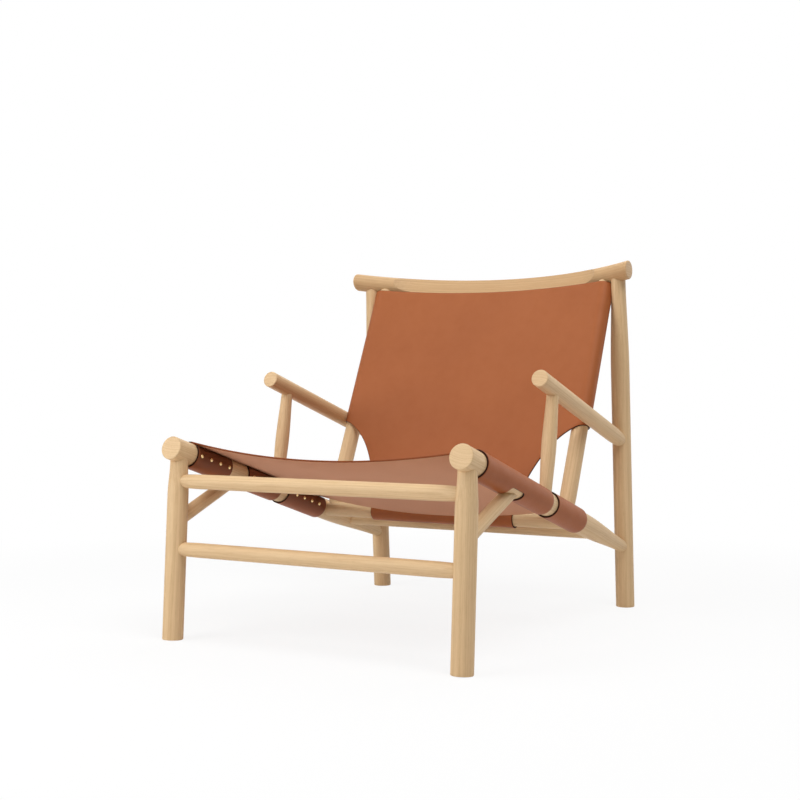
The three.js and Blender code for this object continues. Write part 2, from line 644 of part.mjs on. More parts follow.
const tabs = [
  [0, postSlot.place - postSlot.half],
  [postSlot.place + postSlot.half, braceSlot.place - braceSlot.half],
  [braceSlot.place + braceSlot.half, seatLength],
];
const sleeveTop = uprightLength - UPRIGHT_TAPER;
SIDES.forEach(([side, label], end) => {
  const inward = new THREE.Vector3(side, 0, 0);
  const seatX = side * (halfSide - seatBore - LEATHER - FIT);
  tabs.forEach(([low, high], tab) => {
    studRow(low, high, SEAT_STUD_PITCH).forEach((place, number) => {
      const surface = new THREE.Vector3(seatX, 0, place).applyMatrix4(seatFrame);
      seat = drive(`seat_stud_${label}_${tab + 1}_${number + 1}`, seat, rails[end], surface, inward);
    });
  });
  const backX = side * (halfUpright - sleeveBore(UPRIGHT_DIAMETER / 2) - LEATHER - FIT);
  studRow(BACK_SLEEVE_FOOT, sleeveTop, BACK_STUD_PITCH).forEach((height, number) => {
    const surface = new THREE.Vector3(backX, 0, backTop - height).applyMatrix4(backFrame);
    back = drive(`back_stud_${label}_${number + 1}`, back, uprights[end], surface, inward);
  });
});
const forward = new THREE.Vector3(0, 1, 0).transformDirection(backFrame);
studRow(-HEM_WIDTH / 2, HEM_WIDTH / 2, HEM_STUD_PITCH).forEach((x, number) => {
  const surface = new THREE.Vector3(x, -hemBore - LEATHER - FIT, backTop).applyMatrix4(backFrame);
  back = drive(`hem_stud_${number + 1}`, back, backCrossRail.member, surface, forward);
});

// The scene graph: the frame, the two slings and the studs
function meshOf(name, geometry, finish) {
  const mesh = new THREE.Mesh(geometry, new THREE.MeshStandardMaterial(finish));
  mesh.name = name;
  return mesh;
}

function solidMesh(name, solid, finish) {
  const { vertProperties, triVerts } = solid.getMesh();
  const geometry = new THREE.BufferGeometry();
  geometry.setAttribute('position', new THREE.BufferAttribute(vertProperties, 3));
  geometry.setIndex(new THREE.BufferAttribute(triVerts, 1));
  return meshOf(name, geometry, finish);
}

const frame = new THREE.Group();
for (const { name, solid } of oak) {
  frame.add(solidMesh(name, solid, OAK));
}
const slings = new THREE.Group();
slings.add(solidMesh('seat_sling', seat, HIDE), solidMesh('back_sling', back, HIDE));
const fasteners = new THREE.Group();
for (const { name, surface, inward, shank } of studs) {
  const stud = meshOf(name, studGeometry(shank), BRASS);
  stud.position.copy(surface);
  stud.quaternion.setFromUnitVectors(LATHE_AXIS, inward);
  fasteners.add(stud);
}
const chair = new THREE.Group();
chair.add(frame, slings, fasteners);

// The origin lies on the floor, under the middle of the chair's depth
const middle = new THREE.Box3().setFromObject(chair).getCenter(new THREE.Vector3());
chair.position.y = -middle.y;

export default chair;
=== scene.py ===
import json
import math
import random
from functools import partialmethod

import bmesh
import bpy
import numpy as np
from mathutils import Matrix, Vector
from mathutils.geometry import delaunay_2d_cdt


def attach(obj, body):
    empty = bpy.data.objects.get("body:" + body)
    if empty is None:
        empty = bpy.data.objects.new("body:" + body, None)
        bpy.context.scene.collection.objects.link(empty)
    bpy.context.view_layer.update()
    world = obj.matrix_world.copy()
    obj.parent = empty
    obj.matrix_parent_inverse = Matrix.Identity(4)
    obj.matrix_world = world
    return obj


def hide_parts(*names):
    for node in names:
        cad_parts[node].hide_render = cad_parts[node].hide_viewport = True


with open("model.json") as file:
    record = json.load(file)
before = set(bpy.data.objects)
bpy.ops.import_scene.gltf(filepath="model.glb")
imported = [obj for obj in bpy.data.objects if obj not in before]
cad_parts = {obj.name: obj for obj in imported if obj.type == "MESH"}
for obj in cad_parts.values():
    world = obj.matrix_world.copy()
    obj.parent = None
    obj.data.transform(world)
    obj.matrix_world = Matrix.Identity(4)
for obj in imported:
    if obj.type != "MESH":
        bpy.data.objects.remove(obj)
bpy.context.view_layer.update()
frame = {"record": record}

acrossChair = Vector((1, 0, 0))
sides = {"left": -1, "right": 1}
halfTurn = math.pi
quarterTurn = math.pi / 2
white = (1, 1, 1, 1)


def clamped(value):
    return min(max(value, 0), 1)


def eased(part):  # a smooth step from 0 to 1
    return part * part * (3 - 2 * part)


# One socket of a node tree; sums of wires add their Math nodes
class Wire:
    def __init__(self, tree, socket):
        self.tree = tree
        self.socket = socket

    def __getitem__(self, output):  # another output of the same node
        return Wire(self.tree, self.socket.node.outputs[output])

    def maths(self, operation, *others):
        return self.tree.node("ShaderNodeMath", {"operation": operation}, dict(enumerate((self, *others))))

    __add__ = __radd__ = partialmethod(maths, "ADD")
    __sub__ = partialmethod(maths, "SUBTRACT")
    __mul__ = __rmul__ = partialmethod(maths, "MULTIPLY")
    __truediv__ = partialmethod(maths, "DIVIDE")
    __pow__ = partialmethod(maths, "POWER")
    __abs__ = partialmethod(maths, "ABSOLUTE")
    sine = partialmethod(maths, "SINE")
    cosine = partialmethod(maths, "COSINE")
    root = partialmethod(maths, "SQRT")
    below = partialmethod(maths, "LESS_THAN")  # 1 where this is less, else 0

    def __rsub__(self, other):
        return self.tree.node("ShaderNodeMath", {"operation": "SUBTRACT"}, {0: other, 1: self})

    def clamped(self):
        return self.tree.node("ShaderNodeClamp", {}, {"Value": self})

    def ramp(self, low, high):  # 0 below low, 1 above high, eased between
        inputs = {"Value": self, "From Min": low, "From Max": high}
        return self.tree.node("ShaderNodeMapRange", {"interpolation_type": "SMOOTHSTEP"}, inputs)


class Tree:
    def __init__(self, nodeTree):
        self.nodeTree = nodeTree
        nodeTree.nodes.clear()

    def node(self, kind, settings=None, inputs=None, output=0):
        made = self.nodeTree.nodes.new(kind)
        for name, value in (settings or {}).items():
            setattr(made, name, value)
        for name, value in (inputs or {}).items():
            socket = made.inputs[name]
            if isinstance(value, Wire):
                self.nodeTree.links.new(value.socket, socket)
            else:
                socket.default_value = value
        if made.outputs:
            return Wire(self, made.outputs[output])


def linear(red, green, blue):  # a colour as seen, 0 to 255, for a shader
    parts = [value / 255 for value in (red, green, blue)]
    curve = [part / 12.92 if part < 0.04045 else ((part + 0.055) / 1.055) ** 2.4 for part in parts]
    return (*curve, 1.0)


def newMaterial(name):
    material = bpy.data.materials.new(name)
    material.use_nodes = True
    return material, Tree(material.node_tree)


def attribute(tree, name, output):
    return tree.node("ShaderNodeAttribute", {"attribute_name": name}, output=output)


def objectPlace(tree):
    return tree.node("ShaderNodeTexCoord", output="Object")


def stretched(tree, place, scale):  # coordinates with a scale of their own on each axis
    return tree.node("ShaderNodeVectorMath", {"operation": "MULTIPLY"}, {0: place, 1: scale})


def distance(tree, place):  # from the coordinates' origin
    return tree.node("ShaderNodeVectorMath", {"operation": "LENGTH"}, {0: place}, output="Value")


def noise(tree, place, scale, detail=3.0, roughness=0.5):
    place = stretched(tree, place, scale)
    inputs = {"Vector": place, "Scale": 1.0, "Detail": detail, "Roughness": roughness}
    return tree.node("ShaderNodeTexNoise", {}, inputs)


def mixed(tree, factor, *colours):  # of wires or colours as seen; 6, 7 and output 2 are colour sockets
    first, second = (colour if isinstance(colour, Wire) else linear(*colour) for colour in colours)
    return tree.node("ShaderNodeMix", {"data_type": "RGBA"}, {0: factor, 6: first, 7: second}, output=2)


def weighed(shares, wires):  # the wires added up by their shares, plus the share all over
    return sum((wire * shares[name] for name, wire in wires.items()), shares.get("all", 0.0))


def surface(tree, shader):
    tree.node("ShaderNodeOutputMaterial", {}, {"Surface": shader})


# roughening and raising name the wires that do so, by the shares in the look
def dress(tree, look, colour, roughening, raising=None, **inputs):
    inputs["Base Color"] = colour
    inputs["Roughness"] = weighed(look["roughness"], roughening)
    inputs["Specular IOR Level"] = look["specular"]
    if raising:
        relief = look["relief"]
        inputs["Normal"] = tree.node("ShaderNodeBump", {}, {
            "Strength": relief["strength"], "Distance": relief["depth"], "Height": weighed(relief, raising)})
    surface(tree, tree.node("ShaderNodeBsdfPrincipled", {}, inputs))


# Oak, cut through one solid pattern so that sawn ends show their rings
oakLook = {
    "pale": (229, 198, 154),
    "dark": (196, 158, 113),
    "poreDark": (158, 118, 76),
    "rings": 330,  # for each metre from the pith
    "wander": 0.012,  # how far a ring strays
    "darkShare": {"late": 0.28, "fibre": 0.34, "cloud": 0.3},
    "poreShare": {"all": 0.12, "late": 0.16},
    "roughness": {"all": 0.5, "late": 0.08, "pore": 0.1},
    "relief": {"depth": 0.00012, "strength": 0.5, "fibre": 0.5, "pore": -0.8},
    "specular": 0.35,
}


def makeOak():
    material, tree = newMaterial("oak")
    grain = attribute(tree, "grain", "Vector")
    wander = noise(tree, grain, scale=(14, 14, 1.6), detail=1.0)
    fromPith = distance(tree, stretched(tree, grain, scale=(1, 1, 0)))
    ringPlace = (fromPith + wander * oakLook["wander"]) * oakLook["rings"]
    rings = tree.node("ShaderNodeTexNoise", {"noise_dimensions": "1D"},
                      {"W": ringPlace, "Scale": 1.0, "Detail": 2.0, "Roughness": 0.6})
    late = rings.ramp(low=0.35, high=0.72)
    fibre = noise(tree, grain, scale=(900, 900, 14), roughness=0.6)
    fibreTone = fibre.ramp(low=0.3, high=0.75)
    cloud = noise(tree, grain, scale=(11, 11, 2.2), detail=1.0)
    pore = noise(tree, grain, scale=(2100, 2100, 70), detail=1.0).ramp(low=0.58, high=0.72)
    darkening = attribute(tree, "darkening", "Fac")  # darker all over where a piece has it: the crest rail
    dark = weighed(oakLook["darkShare"], {"late": late, "fibre": fibreTone, "cloud": cloud}) + darkening
    wood = mixed(tree, dark.clamped(), oakLook["pale"], oakLook["dark"])
    poreTone = pore * weighed(oakLook["poreShare"], {"late": late})
    colour = mixed(tree, poreTone, wood, oakLook["poreDark"])
    dress(tree, oakLook, colour, {"late": late, "pore": pore}, {"fibre": fibre, "pore": pore})
    return material


# Saddle leather, its smooth grain side
grainLook = {
    "colour": (165, 95, 52),
    "shade": (148, 81, 41),
    "flap": (118, 65, 36),  # painted shade where it is turned under and tacked
    "shadeShare": {"all": 0.2, "cloud": 0.34, "mottle": 0.16},
    "pebbles": 1100,  # for each metre
    "roughness": {"all": 0.46, "mottle": 0.16},
    "relief": {"depth": 0.00013, "strength": 0.35, "pebble": 0.6, "wrinkle": 0.8},
    "specular": 0.22,
}


def makeGrainSide():
    material, tree = newMaterial("leatherGrain")
    place = objectPlace(tree)
    cloud = noise(tree, place, scale=(5, 5, 5), roughness=0.55).ramp(low=0.3, high=0.7)
    mottle = noise(tree, place, scale=(38, 38, 38), detail=4.0, roughness=0.6)
    mottleTone = mottle.ramp(low=0.35, high=0.75)
    cells = tree.node("ShaderNodeTexVoronoi", {"feature": "DISTANCE_TO_EDGE"},
                      {"Vector": place, "Scale": grainLook["pebbles"]})
    pebble = cells.ramp(low=0.0, high=0.25)
    wrinkle = noise(tree, place, scale=(420, 420, 420))
    shade = weighed(grainLook["shadeShare"], {"cloud": cloud, "mottle": mottleTone}).clamped()
    skin = mixed(tree, shade, grainLook["colour"], grainLook["shade"])
    # painted shade: the grain side darkens towards the flap colour where it is turned under
    tuckShade = attribute(tree, "tuckShade", "Fac").ramp(low=0.0, high=1.0)
    colour = mixed(tree, tuckShade, skin, grainLook["flap"])
    dress(tree, grainLook, colour, {"mottle": mottle}, {"pebble": pebble, "wrinkle": wrinkle})
    return material


# The raw flesh side, under the seat and behind the back
fleshLook = {
    "colour": (214, 160, 129),
    "shade": (197, 142, 111),
    "fleck": {"scale": (900, 900, 900), "roughness": 0.7},
    "fleckRange": (0.3, 0.7),
    "cloud": {"scale": (8, 8, 8)},
    "shadeShare": {"cloud": 0.5, "fleck": 0.35},
    "roughness": {"all": 0.82, "fleck": 0.1},
    "relief": {"depth": 0.0002, "strength": 0.6, "fleck": 1.0},
    "specular": 0.2,
}

# The leather's cut edges: a near-black colour paints the shade on them and in the gap round the oak, but for
# the seat's front and rear, which keep the plain edge colour
edgeShadeLook = {
    "colour": (58, 26, 12),
    "shade": (0, 0, 0),
    "fleck": {"scale": (700, 700, 700)},
    "fleckRange": (0.3, 0.7),
    "shadeShare": {"fleck": 0.2},
    "roughness": {"all": 0.5, "fleck": 0.2},
    "specular": 0.12,
}
rawLook = {**edgeShadeLook, "colour": (132, 68, 32)}

brassLook = {
    "colour": (250, 222, 162),
    "shade": (226, 184, 116),  # tarnish
    "fleck": {"scale": (900, 900, 900)},
    "fleckRange": (0.4, 0.8),
    "shadeShare": {"fleck": 0.5},
    "roughness": {"all": 0.2, "fleck": 0.16},
    "specular": 0.5,
}


# A finish in which a fine fleck, and a cloud if it has one, shade the colour
def makeFlecked(name, look, **inputs):
    material, tree = newMaterial(name)
    place = objectPlace(tree)
    tones = {}
    if "cloud" in look:
        tones["cloud"] = noise(tree, place, **look["cloud"])
    fleck = noise(tree, place, **look["fleck"])
    tones["fleck"] = fleck.ramp(*look["fleckRange"])
    shade = weighed(look["shadeShare"], tones).clamped()
    raising = {"fleck": fleck} if "relief" in look else None
    dress(tree, look, mixed(tree, shade, look["colour"], look["shade"]), {"fleck": fleck}, raising, **inputs)
    return material


oak = makeOak()
leather = [makeGrainSide(), makeFlecked("leatherFlesh", fleshLook),
           makeFlecked("paintedShadeEdge", edgeShadeLook), makeFlecked("rawEdge", rawLook)]
grainSlot, fleshSlot, edgeShadeSlot, rawSlot = range(len(leather))
brass = makeFlecked("brass", brassLook, Metallic=1.0)
print("materials made")


def newObject(name, data):
    made = bpy.data.objects.new(name, data)
    bpy.context.scene.collection.objects.link(made)
    return made


# The finished mesh becomes a piece that stands for its CAD nodes
def addPiece(name, mesh, materials, nodes):
    for material in materials:
        mesh.materials.append(material)
    piece = newObject(name, mesh)
    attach(piece, "root")
    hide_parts(*nodes)
    return piece


def smoothMesh(name, points, faces):
    mesh = bpy.data.meshes.new(name)
    mesh.from_pydata(points, [], faces)
    mesh.polygons.foreach_set("use_smooth", [True] * len(mesh.polygons))
    return mesh


def storeVectors(mesh, name, vectors):
    made = mesh.attributes.new(name, "FLOAT_VECTOR", "POINT")
    made.data.foreach_set("vector", [part for vector in vectors for part in vector])


def turnOutwards(mesh, merge=None):  # merge: how close two points have to be to become one
    shell = bmesh.new()
    shell.from_mesh(mesh)
    if merge:
        bmesh.ops.remove_doubles(shell, verts=shell.verts, dist=merge)
    bmesh.ops.recalc_face_normals(shell, faces=shell.faces)
    shell.to_mesh(mesh)
    shell.free()


# A line in the side plane, as (back, up)
class SideLine:
    def __init__(self, start, elevation):
        self.start = Vector(start)
        self.along = Vector((math.cos(math.radians(elevation)), math.sin(math.radians(elevation))))

    def at(self, distance):
        return self.start + self.along * distance

    def atHeight(self, height):
        return self.at((height - self.start.y) / self.along.y)

    def crossing(self, other, offset=0.0):  # how far along, beside this line by an offset
        normal = Vector((-self.along.y, self.along.x))
        gap = other.start - self.start - normal * offset
        return gap.cross(other.along) / self.along.cross(other.along)


def lifted(flat, x):  # a point of the side plane, placed across the chair
    return Vector((x, flat.x, flat.y))


# The side frames' lines, from the feet that the frame gives
sideFrame = {
    "frontLegRake": 3.4,
    "rearLegRake": 3.8,
    "railHeight": 0.3715,  # over the front leg
    "railSlope": 16.8,
    "railOverhang": 0.028,
    "armHeight": 0.3765,  # at the rear leg
    "armSlope": 17,
    "armOverhang": 0.07,
    "postStation": 0.348,
    "postRake": 10.5,
    "braceDrop": 0.1375,
    "braceSlope": 21,
    "stretcherDrops": {"upper": 0.059, "lower": 0.193},
    "backRailStation": 0.536,
    "rearRailGap": 0.113,
    "uprightInset": 0.0345,
}
feet = {mount["name"]: Vector(mount["pos_m"]) for mount in frame["record"]["mounts"]}
frontFoot = feet["front_foot_right"]
rearFoot = feet["rear_foot_right"]
halfSide = frontFoot.x
halfUpright = halfSide - sideFrame["uprightInset"]
frontLegLine = SideLine(frontFoot.yz, 90 - sideFrame["frontLegRake"])
rearLegLine = SideLine(rearFoot.yz, 90 + sideFrame["rearLegRake"])
railLine = SideLine(frontLegLine.atHeight(sideFrame["railHeight"]), -sideFrame["railSlope"])
armLine = SideLine(rearLegLine.atHeight(sideFrame["armHeight"]), 180 - sideFrame["armSlope"])
postLine = SideLine(railLine.at(sideFrame["postStation"]), 90 - sideFrame["postRake"])
braceLine = SideLine(frontLegLine.atHeight(sideFrame["railHeight"] - sideFrame["braceDrop"]),
                     sideFrame["braceSlope"])
backRailPlace = railLine.at(sideFrame["backRailStation"])
rearRailPlace = railLine.at(sideFrame["backRailStation"] + sideFrame["rearRailGap"])

# The bowed crest rail
crestLook = {
    "height": 0.7555,  # over the rear leg
    "overhang": 0.032,
    "bowRadius": 0.712,
    "tilt": 13.4,
    "diameter": 0.041,
    "facetLength": 0.526,
    "facetDepth": 0.0115,
    "scoopRadius": 0.12,  # of the facet's ends
    "endRound": 0.003,
    "creaseAngle": 30,
    "darkening": 0.5,  # how much darker the whole crest rail is
    "rings": {"Flat Rings": 70, "Scoop Rings": 36, "End Rings": 30, "Edge Rings": 6},
    "around": {"Facet Sides": 32, "Round Sides": 96},
}
crestRadius = crestLook["diameter"] / 2
bowRadius = crestLook["bowRadius"]
tilt = math.radians(crestLook["tilt"])
crestFront = Vector((0, -math.cos(tilt), math.sin(tilt)))
crestUp = Vector((0, math.sin(tilt), math.cos(tilt)))


def bowDepth(x):
    return bowRadius - math.sqrt(bowRadius ** 2 - x ** 2)


crestMiddle = lifted(rearLegLine.atHeight(crestLook["height"]), 0) - crestFront * bowDepth(halfSide)


def crestPoint(x):
    return crestMiddle + acrossChair * x + crestFront * bowDepth(x)


class Crest:
    def depth(self, point):  # how far outside the round rail a point lies
        reach = point - crestMiddle
        bow = bowRadius - math.hypot(reach.x, bowRadius - reach.dot(crestFront))
        return math.hypot(bow, reach.dot(crestUp)) - crestRadius


class Floor:
    def depth(self, point):
        return point.z


# A turned dowel: smooth tapers between its stations of (distance, diameter)
class Dowel:
    def __init__(self, start, end, stations):
        self.start = start
        self.length = (end - start).length
        self.along = (end - start).normalized()
        self.stations = stations

    def radius(self, distance):
        low = self.stations[0]
        for high in self.stations:
            if distance <= high[0]:
                break
            low = high
        part = 1.0 if high[0] <= low[0] else clamped((distance - low[0]) / (high[0] - low[0]))
        return (low[1] + (high[1] - low[1]) * eased(part)) / 2

    def depth(self, point):  # how far outside the dowel a point lies
        reach = point - self.start
        distance = reach.dot(self.along)
        return (reach - self.along * distance).length - self.radius(distance)


turning = {
    "sides": 96,
    "ringSpacing": 0.01,
    "fewestRings": 12,
    "endRound": 0.002,  # softened edge of a sawn end
    "footRound": 0.001,
    "roundSteps": 5,
    "capInset": 0.04,  # a ring just inside the rim keeps the sawn face flat
    "bury": 0.004,  # shoulder let into its host
    "shadowGap": 0.0006,  # eased shoulder, deep and wide
    "shadowWidth": 0.0016,
    "shadowSteps": (0, 0.2, 0.45, 0.7, 1),
    "searchSteps": 30,
    "pith": (0.012, 0.085),  # from the dowel's middle to the heart of the tree
    "pithSpread": (0.7, 1.3),
    "boardLength": 9,  # each dowel's grain starts somewhere along it
    "seed": 7,
}
grainSeed = random.Random(turning["seed"])


# Where a line along the dowel's surface ends, at its host or at a sawn end
def meeting(dowel, host, direction, end):
    inside = 0.0 if end == 0 else dowel.length
    outside = dowel.length / 2
    if host is None:
        return inside
    for step in range(turning["searchSteps"]):
        middle = (inside + outside) / 2
        point = dowel.start + dowel.along * middle + direction * dowel.radius(middle)
        if host.depth(point) > 0:
            outside = middle
        else:
            inside = middle
    return inside


# The rings at one end: (distance from the end or the host's surface, how much thinner)
def endRings(host):
    if isinstance(host, (Dowel, Crest)):
        gap, width = turning["shadowGap"], turning["shadowWidth"]
        shoulder = [(part * width, gap * (1 - part) ** 2) for part in turning["shadowSteps"]]
        return [(-turning["bury"], gap), *shoulder]
    edge = turning["endRound"] if host is None else turning["footRound"]
    angles = [quarterTurn * step / turning["roundSteps"] for step in range(turning["roundSteps"] + 1)]
    return [(edge * (1 - math.cos(angle)), edge * (1 - math.sin(angle))) for angle in angles]


# One line along the dowel's surface, as (distance, radius) pairs
def surfaceLine(dowel, hosts, rings, direction):
    ends = [meeting(dowel, host, direction, end) for end, host in enumerate(hosts)]
    low = ends[0] + rings[0][-1][0]
    high = ends[1] - rings[1][-1][0]
    steps = max(turning["fewestRings"], round(dowel.length / turning["ringSpacing"]))
    places = [low + (high - low) * step / steps for step in range(1, steps)]
    first = [(ends[0] + gap, dowel.radius(ends[0] + gap) - thin) for gap, thin in rings[0]]
    last = [(ends[1] - gap, dowel.radius(ends[1] - gap) - thin) for gap, thin in reversed(rings[1])]
    return first + [(place, dowel.radius(place)) for place in places] + last


# Faces round a stack of rings, and a cap at each end, whose points are added
def ringFaces(points, count):
    faces = []
    for start in range(0, len(points) - count, count):
        for number in range(count):
            a = start + number
            b = start + (number + 1) % count
            faces.append((a, b, b + count, a + count))
    for rim, flip in ((0, True), (len(points) - count, False)):
        centre = sum(points[rim:rim + count], Vector()) / count
        inner = len(points)
        points.extend(point.lerp(centre, turning["capInset"]) for point in points[rim:rim + count])
        points.append(centre)
        for number in range(count):
            after = (number + 1) % count
            quad = (rim + number, rim + after, inner + after, inner + number)
            cap = (inner + number, inner + after, inner + count)
            faces.extend([quad[::-1], cap[::-1]] if flip else [quad, cap])
    return faces


def turn(node, dowel, hosts):  # hosts: what each end runs into, or None for a sawn end
    side = acrossChair if abs(dowel.along.x) <= abs(dowel.along.z) else Vector((0, 0, 1))
    first = (side - dowel.along * side.dot(dowel.along)).normalized()
    second = dowel.along.cross(first)
    count = turning["sides"]
    rings = [endRings(host) for host in hosts]
    lines = []
    for number in range(count):
        angle = 2 * halfTurn * number / count
        direction = first * math.cos(angle) + second * math.sin(angle)
        lines.append((direction, surfaceLine(dowel, hosts, rings, direction)))
    points = [dowel.start + dowel.along * line[ring][0] + direction * line[ring][1]
              for ring in range(len(lines[0][1])) for direction, line in lines]
    faces = ringFaces(points, count)
    mesh = smoothMesh(node, points, faces)
    heart = [part * grainSeed.uniform(*turning["pithSpread"]) * grainSeed.choice((-1, 1))
             for part in turning["pith"]]
    shift = grainSeed.uniform(0, turning["boardLength"])
    reaches = [point - dowel.start for point in points]
    storeVectors(mesh, "grain", [(reach.dot(first) + heart[0], reach.dot(second) + heart[1],
                                  reach.dot(dowel.along) + shift) for reach in reaches])
    return addPiece("turned_" + node, mesh, [oak], [node])


# Diameters of the oak stock, and how far its tapers run
stock = {
    "leg": 0.0415,
    "frontLegTop": 0.0355, "frontLegTaper": 0.062,
    "rearLegTop": 0.032, "rearLegTaper": 0.22,
    "rail": 0.047, "railTail": 0.027, "railTaper": 0.265,
    "arm": 0.035, "armTail": 0.0295, "armTaper": 0.07,
    "post": 0.03, "postEnd": 0.024,
    "brace": 0.028,
    "stretcher": 0.029, "stretcherEnd": 0.0265, "stretcherTaper": 0.06,
    "backRail": 0.033,
    "rearRail": 0.028,
    "upright": 0.0355, "uprightTop": 0.023, "uprightTaper": 0.04,
    "uprightFoot": 0.03, "uprightFootTaper": 0.06,
}


# The two stations of a taper that ends at a distance
def tapered(end, taper, thick, thin):
    return [(end - stock[taper], stock[thick]), (end, stock[thin])]


def sideDowel(line, low, high, x, stations):
    return Dowel(lifted(line.at(low), x), lifted(line.at(high), x), stations)


def crossDowel(place, stations):
    return Dowel(lifted(place, -halfSide), lifted(place, halfSide), stations)


floorHost = Floor()
crestHost = Crest()
railLength = railLine.crossing(rearLegLine)
frontLegLength = frontLegLine.crossing(railLine)
rearLegLength = (rearLegLine.atHeight(crestLook["height"]) - rearLegLine.start).length
postLength = postLine.crossing(armLine)
armLength = armLine.crossing(postLine) + sideFrame["armOverhang"]
braceLength = braceLine.crossing(railLine)
uprightTop = crestPoint(halfUpright)
uprightFoot = lifted(backRailPlace, halfUpright)
uprightLength = (uprightTop - uprightFoot).length
uprightAlong = (uprightTop - uprightFoot).normalized()
frontLegStations = tapered(frontLegLength - stock["rail"] / 2, "frontLegTaper", "leg", "frontLegTop")
rearLegStations = tapered(rearLegLength, "rearLegTaper", "leg", "rearLegTop")
railStations = tapered(sideFrame["railOverhang"] + railLength, "railTaper", "rail", "railTail")
armStations = tapered(armLength, "armTaper", "arm", "armTail")
postStations = [(0, stock["postEnd"]), (postLength / 2, stock["post"]), (postLength, stock["postEnd"])]
uprightStations = [(0, stock["uprightFoot"]), (stock["uprightFootTaper"], stock["upright"]),
                   *tapered(uprightLength, "uprightTaper", "upright", "uprightTop")]
stretcherStations = [(0, stock["stretcherEnd"]), (stock["stretcherTaper"], stock["stretcher"]),
                     *tapered(2 * halfSide, "stretcherTaper", "stretcher", "stretcherEnd")]
backCrossRail = crossDowel(backRailPlace, [(0, stock["backRail"])])
rearCrossRail = crossDowel(rearRailPlace, [(0, stock["rearRail"])])
legs, rails = [], []
for label, side in sides.items():
    x = side * halfSide
    frontLeg = sideDowel(frontLegLine, 0, frontLegLength, x, frontLegStations)
    rearLeg = sideDowel(rearLegLine, 0, rearLegLength, x, rearLegStations)
    rail = sideDowel(railLine, -sideFrame["railOverhang"], railLength, x, railStations)
    arm = sideDowel(armLine, armLength, 0, x, armStations)
    post = sideDowel(postLine, 0, postLength, x, postStations)
    brace = sideDowel(braceLine, 0, braceLength, x, [(0, stock["brace"])])
    inner = side * halfUpright
    upright = Dowel(lifted(backRailPlace, inner), crestPoint(inner), uprightStations)
    members = {
        "front_leg": (frontLeg, floorHost, rail),
        "rear_leg": (rearLeg, floorHost, crestHost),
        "side_rail": (rail, None, rearLeg),
        "arm": (arm, None, rearLeg),
        "arm_post": (post, rail, arm),
        "front_brace": (brace, frontLeg, rail),
        "back_upright": (upright, backCrossRail, crestHost),
    }
    for name, (dowel, *hosts) in members.items():
        turn(name + "_" + label, dowel, hosts)
    legs.append(frontLeg)
    rails.append(rail)
for name, drop in sideFrame["stretcherDrops"].items():
    place = frontLegLine.atHeight(sideFrame["railHeight"] - drop)
    turn("front_stretcher_" + name, crossDowel(place, stretcherStations), legs)
turn("back_cross_rail", backCrossRail, rails)
turn("rear_cross_rail", rearCrossRail, rails)
print("turned members made")


# A geometry tree with named inputs, run once and kept as a plain mesh
def geometryTree(name, inputs):
    group = bpy.data.node_groups.new(name, "GeometryNodeTree")
    group.interface.new_socket("Points", in_out="INPUT", socket_type="NodeSocketGeometry")
    for inputName, value in inputs.items():
        kind = {int: "NodeSocketInt", float: "NodeSocketFloat"}.get(type(value), "NodeSocketMaterial")
        group.interface.new_socket(inputName, in_out="INPUT", socket_type=kind)
    group.interface.new_socket("Shape", in_out="OUTPUT", socket_type="NodeSocketGeometry")
    tree = Tree(group)
    return tree, tree.node("NodeGroupInput")


def moulded(tree, mesh, x, y, z):  # its points moved to their places, and shaded smooth
    place = tree.node("ShaderNodeCombineXYZ", {}, {"X": x, "Y": y, "Z": z})
    moved = tree.node("GeometryNodeSetPosition", {}, {"Geometry": mesh, "Position": place})
    return tree.node("GeometryNodeSetShadeSmooth", {}, {"Geometry": moved})


def endTree(tree, shape, material):
    whole = tree.node("GeometryNodeRealizeInstances", {}, {"Geometry": shape})
    dressed = tree.node("GeometryNodeSetMaterial", {}, {"Geometry": whole, "Material": material})
    tree.node("NodeGroupOutput", {}, {"Shape": dressed})


seamGap = 1e-7  # points of a seam or pole closer than this are one


def runTree(tree, base, inputs):
    maker = newObject(base.name, base)
    modifier = maker.modifiers.new("shape", "NODES")
    modifier.node_group = tree.nodeTree
    for item in tree.nodeTree.interface.items_tree:
        if item.in_out == "INPUT" and item.name in inputs:
            modifier[item.identifier] = inputs[item.name]
    scene = bpy.context.evaluated_depsgraph_get()
    mesh = bpy.data.meshes.new_from_object(maker.evaluated_get(scene), preserve_all_data_layers=True,
                                           depsgraph=scene)
    maker.modifiers.remove(modifier)
    bpy.data.objects.remove(maker)
    turnOutwards(mesh, merge=seamGap)
    mesh.materials.clear()  # addPiece gives its own
    return mesh


# What the crest's rule is given: its sizes, and where the facet and its scooped ends lie
def crestInputs():
    lean = math.atan2(uprightAlong.y, uprightAlong.z) - tilt  # the facet lies parallel to the back
    innerBow = bowRadius - crestRadius / math.cos(lean)
    facetBow = innerBow + crestLook["facetDepth"] / math.cos(lean)
    scoop = crestLook["scoopRadius"]
    scoopBow = facetBow - scoop
    scoopTurn = math.acos((innerBow ** 2 - scoopBow ** 2 - scoop ** 2) / (2 * scoop * scoopBow))
    tip = crestLook["facetLength"] / 2
    swing = math.asin(tip / innerBow) - math.asin(scoop * math.sin(scoopTurn) / innerBow)
    return {
        "Half Length": halfSide + crestLook["overhang"],
        "Bow Radius": bowRadius,
        "Radius": crestRadius,
        "Edge": crestLook["endRound"],
        "Facet Lean": lean,
        "Facet Tip": tip,
        "Facet Flat": facetBow * math.sin(swing),
        "Facet Bow": facetBow,
        "Scoop Radius": scoop,
        "Scoop Middle": scoopBow * math.sin(swing),
        "Scoop Front": bowRadius - scoopBow * math.cos(swing),
        **crestLook["rings"],
        **crestLook["around"],
        "Darkening": crestLook["darkening"],
        "Oak": oak,
    }


